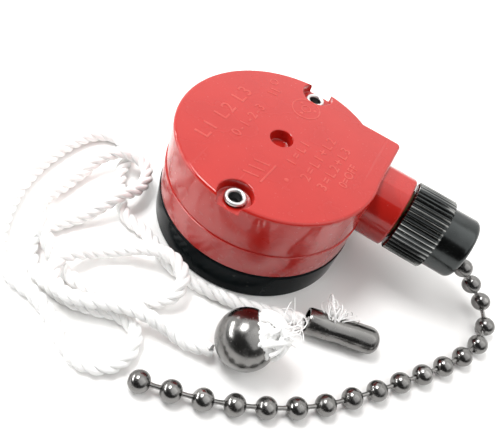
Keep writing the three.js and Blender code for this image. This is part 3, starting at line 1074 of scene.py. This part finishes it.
@dataclass
class BeadChain:
    """The ball chain: the length inside the nozzle, and the free length that lies on the table."""

    bead_radius: float = 0.0015
    link_radius: float = 0.00035
    pitch: float = 0.0043
    inner_beads: int = 8
    mouth_bead: Vector = Vector((0.031, 0.00592, 0.0116))
    free_beads: int = 18
    first_bead: float = 0.0027
    last_gap: float = 0.0009
    diameter: float = 0.003

    # The free length's line in millimetres, from the nozzle's mouth to the last bead.
    ROUTE = (
        (32.9, 6, 10.6), (33.9, 6.3, 8.1), (37.1, 7, 5.2), (40.2, 7.2, 2.8), (42.3, 4.4, 1.7),
        (42.1, 0.2, 1.6), (40.2, -3.9, 1.55), (37.8, -7.5, 1.55), (35.2, -10.9, 1.55),
        (29.8, -17.5, 1.55), (24, -23.8, 1.55), (20.6, -26.5, 1.55), (17, -28.8, 1.55),
        (13.2, -30.8, 1.55), (9.3, -32.5, 1.55), (1.2, -35.1, 1.55),
    )

    def build(self) -> None:
        """Makes both lengths."""
        back = NOZZLE_AXIS * self.pitch
        beads = [self.mouth_bead - back * i for i in range(self.inner_beads)]
        end = self.mouth_bead - NOZZLE_AXIS * (self.pitch * (self.inner_beads - 1) + 4.5 * MM)
        inner = self.string(beads).added(self.link(beads[-1], end))
        piece = publish(inner, "inner_ball_chain", Body.CHAIN, GUNMETAL, 50)
        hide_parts("inner_chain")

        route = smooth_route([Vector(p) * MM for p in self.ROUTE], 0.2 * MM)
        length = line_length(route)
        step = (length - self.first_bead - self.last_gap) / (self.free_beads - 1)
        places = [self.along(route, self.first_bead + step * i) for i in range(self.free_beads)]
        joint = self.mouth_bead.lerp(places[0], 0.2)
        free = self.string(places).added(self.link(places[0], joint))
        piece = publish(free, "ball_chain", Body.CHAIN, GUNMETAL, 50)
        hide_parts("bead_chain")
        LOG.info("chain: %.4f m outside the nozzle", length)
        route[::3] + [route[-1]]

    @staticmethod
    def along(route: Sequence[Vector], distance: float) -> Vector:
        """The place at a distance along a line."""
        for a, b in zip(route, route[1:]):
            length = (b - a).length
            if distance <= length:
                return a.lerp(b, distance / length)
            distance -= length
        return route[-1].copy()

    def link(self, first: Vector, second: Vector) -> Form:
        """One wire link with a slightly waisted middle."""
        length = (second - first).length
        thick, thin = self.link_radius, self.link_radius * 0.85
        profile = [(0, 0), (thick, 0), (thick, 0.3 * length), (thin, 0.5 * length)]
        profile += [(thick, 0.7 * length), (thick, length), (0, length)]
        return Form.lathe(profile, first, second - first, 12)

    def string(self, places: Sequence[Vector]) -> Form:
        """Beads at places, each pierced towards its neighbours, with links between them."""
        form = Form()
        for i, place in enumerate(places):
            before, after = places[max(i - 1, 0)], places[min(i + 1, len(places) - 1)]
            form.added(self.bead(place, (after - before).normalized()))
            if i:
                form.added(self.link(places[i - 1], place))
        return form

    def bead(self, centre: Vector, axis: Vector) -> Form:
        """A hollow bead: a sphere rolled from sheet, with a turned-in lip round each link."""
        radius = self.bead_radius
        mouth = 0.36  # radians from the pole to the lip
        profile = [(0, -radius * 0.86), (radius * 0.27, -radius * 0.86)]
        for i in range(19):
            angle = mouth + (math.pi - 2 * mouth) * i / 18
            profile.append((radius * math.sin(angle), -radius * math.cos(angle)))
        profile += [(radius * 0.27, radius * 0.86), (0, radius * 0.86)]
        return Form.lathe(profile, centre, axis, 30)


@dataclass(frozen=True)
class BodyPlan:
    """The plan of the housing and its base: a circle with a square shoulder beside the neck."""

    drum_radius: float = 0.01575
    corner_x: float = 0.0156
    corner_y: float = 0.01305
    corner_round: float = 0.0008
    steps: int = 132

    def slab(self, radius: float, low: float, high: float) -> Form:
        """The plan raised between two heights.

        Args:
            radius: The round part's radius, which moves the shoulder's sides as well.
            low: The underside's height.
            high: The top's height.

        Returns:
            A closed form.
        """
        grow = radius - self.drum_radius
        end_x, far_y, curve = self.corner_x + grow, self.corner_y + grow, self.corner_round
        first, kink = math.acos(end_x / radius), math.asin(far_y / radius)
        form = Form()
        start = Vector((radius * math.cos(kink), far_y, low))
        round_start, round_end = form.arc(Vector((0, 0, low)), start, TAU + first - kink, self.steps)
        centre = Vector((end_x - curve, far_y - curve, low))
        corner_start, corner_end = form.arc(centre, centre + Vector((curve, 0, 0)), math.pi / 2, 8)
        form.bm.edges.new((round_end, corner_start))
        form.bm.edges.new((corner_end, round_start))
        bmesh.ops.contextual_create(form.bm, geom=form.bm.edges[:])
        raised = bmesh.ops.extrude_face_region(form.bm, geom=form.bm.faces[:])
        verts = [v for v in raised["geom"] if isinstance(v, bmesh.types.BMVert)]
        bmesh.ops.translate(form.bm, verts=verts, vec=(0, 0, high - low))
        form.tidy()
        return form


@dataclass
class Housing:
    """The red moulding: skirt, drum, neck, rivet pockets and raised marks."""

    plan: BodyPlan
    bottom: float = 0.0056
    step: float = 0.0105
    top: float = 0.018
    skirt_radius: float = 0.01595
    rim: float = 0.0005
    cavity_radius: float = 0.0141
    cavity_top: float = 0.0164
    pocket_y: float = 0.0139
    pocket_radius: float = 0.0025
    pocket_depth: float = 0.0015
    rivet_y: float = 0.0135
    rivet_bore: float = 0.00145
    boss_radius: float = 0.0029
    pin_top: float = 0.0156
    hole_radius: float = 0.00175
    neck_radius: float = 0.0058
    neck_flat: float = 0.00555
    neck_end: float = 0.0205
    neck_bore: float = 0.0042
    pin_boss_radius: float = 0.003
    mark_height: float = 0.00004
    mark_root: float = 0.1 * MM  # how deep the marks go below the top
    mark_edge: float = 0.02 * MM  # how much their edges are rounded

    # Each raised line: its text, its capitals' height, its start in x and y, and its spacing.
    LINES = (
        ("L1 L2 L3", 2.25, -8.2, -7.9, 1.24),
        ("0-1-2-3", 1.55, -4.95, -4.3, 1.3),
        ("1=L1", 1.45, 3.95, -3.9, 1.5),
        ("2=L1+L2", 1.5, 6.85, -5.2, 1.45),
        ("3=L2+L3", 1.5, 9.5, -5.2, 1.4),
        ("0=OFF", 1.3, 11.7, -2.6, 1.0),
    )

    # The single bars' ends in millimetres.
    BARS = (
        ((1.55, -9.9), (1.85, -5.6)),
        ((-6.6, 8.0), (-5.0, 8.3)),
        ((-6.6, 9.1), (-5.0, 9.4)),
    )

    def build(self) -> None:
        """Makes the moulding and its marks."""
        shell = self.plan.slab(self.skirt_radius, self.bottom, self.step)
        shell.rounded(shell.edges_at(2, self.step), 0.14 * MM, 2)
        drum = self.plan.slab(self.plan.drum_radius, self.step - OVERLAP, self.top)
        drum.rounded(drum.edges_at(2, self.top), self.rim, 5)
        shell.carved(Carve.JOIN, drum, self.neck())
        shell.carved(Carve.CUT, self.cavity(), *self.bores())
        piece = publish(shell, "drum_housing", Body.CASING, RED, 32)
        flatten_shading(piece)
        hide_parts("housing")
        self.build_marks()

    def neck(self) -> Form:
        """The round neck with its flat top and rounded end."""
        start = NOZZLE_LINE + NOZZLE_AXIS * (self.cavity_radius - OVERLAP)
        length = self.neck_end - start.x
        profile = [(0, 0), (self.neck_radius, 0), (self.neck_radius, length), (0, length)]
        neck = Form.lathe(profile, start, NOZZLE_AXIS, 96)
        flat = NOZZLE_LINE + UP * self.neck_flat
        geom = [*neck.bm.verts, *neck.bm.edges, *neck.bm.faces]
        made = bmesh.ops.bisect_plane(
            neck.bm, geom=geom, plane_co=flat, plane_no=UP, clear_outer=True, dist=MERGE_DISTANCE
        )
        cut_edges = [e for e in made["geom_cut"] if isinstance(e, bmesh.types.BMEdge)]
        bmesh.ops.contextual_create(neck.bm, geom=cut_edges)
        ring = [e for e in neck.edges_at(0, self.neck_end) if len(e.link_faces) == 2]
        rim = [e for e in ring if e.calc_face_angle() > 0.5]
        neck.rounded(rim, 0.4 * MM, 4)
        neck.tidy()
        return neck

    def cavity(self) -> Form:
        """The space for the mechanism, with the bosses left standing."""
        space = Form.post(self.cavity_radius, self.bottom - OVERLAP, self.cavity_top, steps=96)
        bosses = [Form.post(self.pin_boss_radius, self.pin_top - OVERLAP, self.top)]
        for side in (-1, 1):
            at = Vector((0, side * self.rivet_y, 0))
            bosses.append(Form.post(self.boss_radius, 0, self.top, at))
        return space.carved(Carve.CUT, *bosses)

    def flared_pit(self, radius: float, floor: float, flare: float, at: Vector) -> Form:
        """A cutter for a round pit with a rounded lip and a small fillet round its floor."""
        fillet = 0.2 * MM
        profile = [(0, floor)]
        for share in shares(3):
            angle = share * math.pi / 2
            across = radius - fillet + fillet * math.sin(angle)
            profile.append((across, floor + fillet * (1 - math.cos(angle))))
        for share in shares(4):
            angle = share * math.pi / 2
            across = radius + flare * (1 - math.cos(angle))
            profile.append((across, self.top - flare * (1 - math.sin(angle))))
        profile += [(radius + flare, self.top + OVERLAP), (0, self.top + OVERLAP)]
        return Form.lathe(profile, Vector((at.x, at.y, 0)), UP, 64)

    def bores(self) -> list[Form]:
        """The cutters for the nozzle, the pin, the centre hole, the pockets and the rivets."""
        bore_start = NOZZLE_LINE + NOZZLE_AXIS * 10.1 * MM
        along = self.neck_end + OVERLAP - bore_start.x
        groove = (5.8 * MM, 7.6 * MM)  # the nozzle's collar
        wide = self.neck_bore + 0.6 * MM
        bore = [(0, 0), (self.neck_bore, 0), (self.neck_bore, groove[0]), (wide, groove[0])]
        bore += [(wide, groove[1]), (self.neck_bore, groove[1]), (self.neck_bore, along), (0, along)]
        cutters = [
            Form.lathe(bore, bore_start, NOZZLE_AXIS, 72),
            Form.post(self.hole_radius, 12 * MM, self.pin_top + 0.3 * MM),
            self.flared_pit(self.hole_radius, self.pin_top + 0.6 * MM, 0.16 * MM, Vector()),
        ]
        for side in (-1, 1):
            pocket = Vector((0, side * self.pocket_y, 0))
            floor = self.top - self.pocket_depth
            cutters.append(self.flared_pit(self.pocket_radius, floor, 0.22 * MM, pocket))
            rivet = Vector((0, side * self.rivet_y, 0))
            cutters.append(Form.post(self.rivet_bore, 0, self.top, rivet, 40))
        return cutters

    def build_marks(self) -> None:
        """The raised marks: switch positions, a ring with three dots, bars and pips."""
        marks = Form()
        for text, height, x, y, stretch in self.LINES:
            marks.added(self.lettering(text, height * MM, x * MM, y * MM, stretch))
        ring_centre = Vector((0, 8.9, 0)) * MM
        marks.added(self.ring(ring_centre, 2.25 * MM, 0.24 * MM))
        marks.added(self.ring(ring_centre, 0.75 * MM, 0.2 * MM))
        for i in range(3):
            angle = TAU * i / 3 + 0.4
            spot = ring_centre + Vector((math.cos(angle), math.sin(angle), 0)) * 1.45 * MM
            marks.added(self.pip(spot, 0.26 * MM))
        for i in range(3):
            x, y = 0.1 * i, 1.45 * i
            marks.added(self.bar((-1.35 + x, -9.6 + y), (1.0 + x, -9.15 + y)))
        for first, second in self.BARS:
            marks.added(self.bar(first, second))
        marks.added(self.ring(Vector((-6.9, 11.0, 0)) * MM, 0.62 * MM, 0.18 * MM))
        marks.added(self.pip(Vector((4.2, -7.0, 0)) * MM, 0.33 * MM))
        publish(marks, "raised_marks", Body.CASING, RED_MARK, 25)

    def lettering(self, text: str, height: float, x: float, y: float, stretch: float) -> Form:
        """One raised line, which reads along +Y with its capitals' tops towards -X."""
        curve = bpy.data.curves.new("line", "FONT")
        curve.body = text
        curve.size = height / 0.7  # a capital's share of the font's size
        curve.space_character = stretch
        curve.extrude = self.mark_root
        curve.bevel_depth = self.mark_edge
        curve.bevel_resolution = 1
        thing = bpy.data.objects.new("line", curve)
        bpy.context.scene.collection.objects.link(thing)
        form = Form.of_object(thing)
        place = Matrix.Translation((x, y, self.top + self.mark_height - 0.12 * MM))
        return form.transform(place @ Matrix.Rotation(math.pi / 2, 4, "Z"))

    def ring(self, centre: Vector, radius: float, width: float) -> Form:
        """A raised ring."""
        low, high = self.top - self.mark_root, self.top + self.mark_height
        half = width / 2
        edge = high - self.mark_edge
        profile = [(radius - half, low), (radius + half, low), (radius + half, edge)]
        profile += [(radius + half * 0.5, high), (radius - half * 0.5, high), (radius - half, edge)]
        return Form.lathe(profile, Vector((centre.x, centre.y, 0)), UP, 56)

    def pip(self, centre: Vector, radius: float) -> Form:
        """A raised pip."""
        low, high = self.top - self.mark_root, self.top + self.mark_height
        edge = high - self.mark_edge
        profile = [(0, low), (radius, low), (radius, edge), (radius * 0.7, high), (0, high)]
        return Form.lathe(profile, Vector((centre.x, centre.y, 0)), UP, 24)

    def bar(self, first: tuple[float, float], second: tuple[float, float]) -> Form:
        """A raised bar between two places in millimetres."""
        a, b = Vector((*first, 0)) * MM, Vector((*second, 0)) * MM
        half = 0.13 * MM
        length = (b - a).length
        low, high = self.top - self.mark_root, self.top + self.mark_height
        form = Form.block((0, -half, low), (length, half, high))
        form.rounded(form.edges_at(2, high), self.mark_edge, 2)
        angle = math.atan2(b.y - a.y, b.x - a.x)
        return form.transform(Matrix.Translation(a) @ Matrix.Rotation(angle, 4, "Z"))


@dataclass
class TerminalBase:
    """The black base under the drum, with its terminals' recess and its wire holes."""

    plan: BodyPlan
    radius: float = 0.0161
    height: float = 0.0053
    floor: float = 0.002
    recess: float = 0.0116
    rivet_y: float = 0.0135
    wire_hole_at: float = 0.0092
    wire_hole: float = 0.0012
    wire_holes: int = 4
    pin_bore: float = 1.5 * MM
    pin_floor: float = 0.9 * MM
    rivet_bore: float = 1.45 * MM
    flange_recess: float = 2.3 * MM

    def build(self) -> None:
        """Makes the base."""
        base = self.plan.slab(self.radius, 0, self.height)
        base.rounded(base.edges_at(2, self.height), 0.22 * MM, 3)
        base.rounded(base.edges_at(2, 0), 0.3 * MM, 3)
        cutters = [
            Form.post(self.recess, self.floor, self.height + OVERLAP, steps=96),
            Form.post(self.pin_bore, self.pin_floor, self.height),
        ]
        for side in (-1, 1):
            at = Vector((0, side * self.rivet_y, 0))
            cutters.append(Form.post(self.rivet_bore, -OVERLAP, self.height + OVERLAP, at, 40))
            cutters.append(Form.post(self.flange_recess, -OVERLAP, 1 * MM, at, 48))
        for i in range(self.wire_holes):
            angle = TAU * (i + 0.5) / self.wire_holes
            at = Vector((math.cos(angle), math.sin(angle), 0)) * self.wire_hole_at
            cutters.append(Form.post(self.wire_hole, -OVERLAP, self.floor + OVERLAP, at, 32))
        base.carved(Carve.CUT, *cutters)
        piece = publish(base, "black_base", Body.CASING, BLACK, 32)
        flatten_shading(piece)
        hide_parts("terminal_base")


@dataclass
class Rivets:
    """The two tubular rivets, clinched over in the housing's pockets."""

    at: float = 0.0135
    shank: float = 0.00115
    bore: float = 0.00092
    flare: float = 0.00158
    bottom: float = 0.0003
    seat: float = 0.0168
    crown: float = 0.00042

    def build(self) -> None:
        """Makes both rivets."""
        for name, node, side in (("near_rivet", "front_rivet", -1), ("far_rivet", "rear_rivet", 1)):
            rivet = self.rivet(Vector((0, side * self.at, 0)))
            piece = publish(rivet, name, Body.CASING, ZINC, 50)
            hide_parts(node)

    def rivet(self, at: Vector) -> Form:
        """A flanged tube whose top is rolled outwards, with its clinched point left inside."""
        flange, thickness = 1.9 * MM, 0.4 * MM
        chamfer = 0.1 * MM
        seam = self.bottom + thickness
        profile = [(0, self.bottom), (flange - chamfer, self.bottom)]
        profile += [(flange, self.bottom + chamfer), (flange, seam)]
        profile += [(self.shank, seam), (self.shank, self.seat)]
        middle, half = (self.flare + self.bore) / 2, (self.flare - self.bore) / 2
        for share in shares(10):
            angle = share * math.pi
            lift = self.crown * math.sin(angle)
            profile.append((middle + half * math.cos(angle), self.seat + lift))
        floor = self.seat - 1.2 * MM
        profile += [(self.bore, floor), (self.bore * 0.55, floor + 0.12 * MM), (0, floor + 0.45 * MM)]
        return Form.lathe(profile, at, UP, 48)


@dataclass
class NozzleNut:
    """The knurled nut on the nozzle: a splined grip, a plain nose and the chain's mouth."""

    start: float = 0.0209
    knurl_end: float = 0.0272
    end: float = 0.0319
    knurl_radius: float = 0.0058
    knurl_depth: float = 0.00034
    teeth: int = 46
    per_tooth: int = 8
    nose_radius: float = 0.00495
    bore: float = 0.0042
    lip: float = 0.0012
    mouth: float = 0.0023

    def build(self) -> None:
        """Makes the nut."""
        profile = self.profile()
        nut = Form.lathe(profile, NOZZLE_LINE, NOZZLE_AXIS, self.teeth * self.per_tooth)
        across = NOZZLE_AXIS.orthogonal().normalized()
        other = NOZZLE_AXIS.cross(across)
        for vert in nut.bm.verts:
            offset = vert.co - NOZZLE_LINE
            offset -= NOZZLE_AXIS * offset.dot(NOZZLE_AXIS)
            radius = offset.length
            if radius < self.nose_radius + 0.3 * MM or vert.co.x > self.knurl_end + 0.01 * MM:
                continue
            angle = math.atan2(offset.dot(other), offset.dot(across))
            phase = (angle / TAU * self.teeth) % 1
            valley = 0.5 + 0.5 * math.cos(TAU * phase)
            depth = min(self.knurl_depth, radius - self.nose_radius - 0.2 * MM) * valley**0.6
            vert.co -= offset.normalized() * depth
        piece = publish(nut, "knurled_nut", Body.NUT, NUT_PLATE, 38)
        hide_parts("nozzle_nut")

    def profile(self) -> list[tuple[float, float]]:
        """The nut's half section, as (radius, distance along the nozzle)."""
        chamfer, curve = 0.22 * MM, 0.95 * MM
        points = [(self.bore, self.start), (self.knurl_radius - 2 * chamfer, self.start)]
        points += [(self.knurl_radius - chamfer, self.start + 0.05 * MM)]
        points += [(self.knurl_radius, self.start + chamfer)]
        grip = self.knurl_end - self.start
        points += [(self.knurl_radius, self.start + grip * share) for share in (0.25, 0.5, 0.75)]
        points += [(self.knurl_radius, self.knurl_end - chamfer)]
        points += [(self.knurl_radius - chamfer, self.knurl_end)]
        points += [(self.nose_radius, self.knurl_end)]
        for share in shares(6):
            angle = share * math.pi / 2
            radius = self.nose_radius - curve * (1 - math.cos(angle))
            points.append((radius, self.end - curve * (1 - math.sin(angle))))
        points += [(self.mouth + 0.25 * MM, self.end), (self.mouth, self.end - 0.25 * MM)]
        return points + [(self.mouth, self.end - self.lip), (self.bore, self.end - self.lip)]


@dataclass
class Mechanism:
    """The pieces inside the drum, whose shapes stay and take their finishes here."""

    terminals: int = 4

    def build(self) -> None:
        """Dresses each piece."""
        finishes: dict[str, Finish] = {
            "threaded_nozzle": STAINED_BRASS,
            "pivot_pin": STEEL,
            "pull_drum": NYLON,
            "drive_pawl": STEEL,
            "ratchet_wheel": STEEL,
            "contact_rotor": NYLON,
            "contact_disc": COPPER,
            "return_spring": STEEL,
            "detent_spring": STEEL,
            "chain_end_pin": BRASS,
        }
        for i in range(1, self.terminals + 1):
            finishes[f"terminal_contact_{i}"] = BRASS
            finishes[f"wire_clamp_{i}"] = STEEL
        for name, finish in finishes.items():
            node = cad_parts[name]
            node.data.materials.clear()
            node.data.materials.append(finish.material())
            LOG.info("%s: %s", name, finish.name)


def main() -> None:
    """Builds everything in order."""
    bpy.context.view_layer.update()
    Studio().build()
    PullCord().build(CordEnds().build())
    BeadChain().build()
    plan = BodyPlan()
    Housing(plan).build()
    TerminalBase(plan).build()
    Rivets().build()
    NozzleNut().build()
    Mechanism().build()


if __name__ == "__main__":
    logging.basicConfig(level=logging.INFO, format="%(message)s")
    main()
